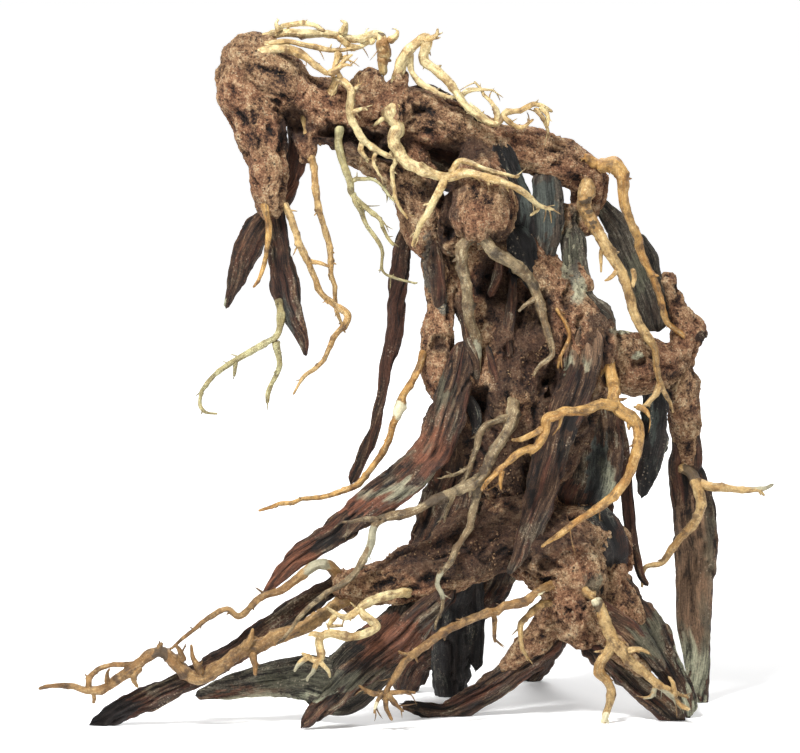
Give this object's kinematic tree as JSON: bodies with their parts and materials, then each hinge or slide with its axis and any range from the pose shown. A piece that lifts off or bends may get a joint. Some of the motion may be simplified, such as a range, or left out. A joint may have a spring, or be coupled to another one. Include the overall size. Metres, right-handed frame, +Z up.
{
  "type": "aquarium bonsai driftwood",
  "caption": "Cascading bonsai-style driftwood: crust-covered limbs, dark wood strips and pale branching twigs joined into a leaning trunk with an overhanging crown.",
  "frame": {"origin": "middle of the whole piece's box, on the surface that its feet stand on", "axes": "+Z up, +X to the viewer's right as the crown hangs to the left, -Y is the front"},
  "size_m": [0.3682, 0.1564, 0.3487],
  "materials": {
    "crust": "rough porous brown crust, matt",
    "red_wood": "fibrous dark red-brown wood, satin to matt",
    "grey_wood": "weathered grey-green wood, matt",
    "charred_wood": "black charred wood, slightly glossy",
    "orange_twig": "barked yellow-orange twig, satin",
    "cream_twig": "peeled cream twig, satin",
    "grey_twig": "grey-tan twig, matt"
  },
  "bodies": {
    "root": {"trunk": "crust", "base": "crust", "arch": "crust", "crown": "crust", "hanging_leg": "crust", "right_shoulder": "crust", "neck": "crust", "ball_knob": "crust", "trunk_ridge": "crust", "left_column": "crust", "left_base": "crust", "right_limb": "crust", "left_root": "red_wood", "right_leg": "red_wood", "mid_plank": "red_wood", "charred_slab": "charred_wood", "grey_slab": "grey_wood", "outer_plank": "grey_wood", "lichen_strip": "grey_wood", "hanging_plate": "charred_wood", "fluted_slab": "red_wood", "hollow_slab": "red_wood", "inner_strip": "red_wood", "thin_strip": "red_wood", "back_leaf": "red_wood", "hanging_strip": "red_wood", "long_strip": "red_wood", "red_strip": "red_wood", "black_tip_strip": "red_wood", "grey_plank": "grey_wood", "bottom_strip": "red_wood", "right_base_upper": "red_wood", "right_base_lower": "red_wood", "fluted_column": "charred_wood", "rear_root": "red_wood", "back_root": "red_wood", "crown_top_twig": "cream_twig", "crown_front_twig": "cream_twig", "looping_twig": "cream_twig", "drooping_twig": "cream_twig", "straight_twig": "orange_twig", "forked_twig": "cream_twig", "short_hanging_twig": "orange_twig", "trailing_twig": "cream_twig", "top_right_twig": "cream_twig", "front_twig": "cream_twig", "grey_fork_twig": "grey_twig", "orange_twig": "orange_twig", "shoulder_twig": "orange_twig", "yellow_twig": "orange_twig", "long_grey_arm": "grey_twig", "yellow_branch": "orange_twig", "right_twig": "cream_twig", "long_left_twig": "orange_twig", "left_bent_twig": "orange_twig", "cream_twig": "cream_twig", "long_front_twig": "grey_twig", "white_tip_twig": "cream_twig", "bottom_right_twig": "grey_twig"}
  },
  "joints": []
}
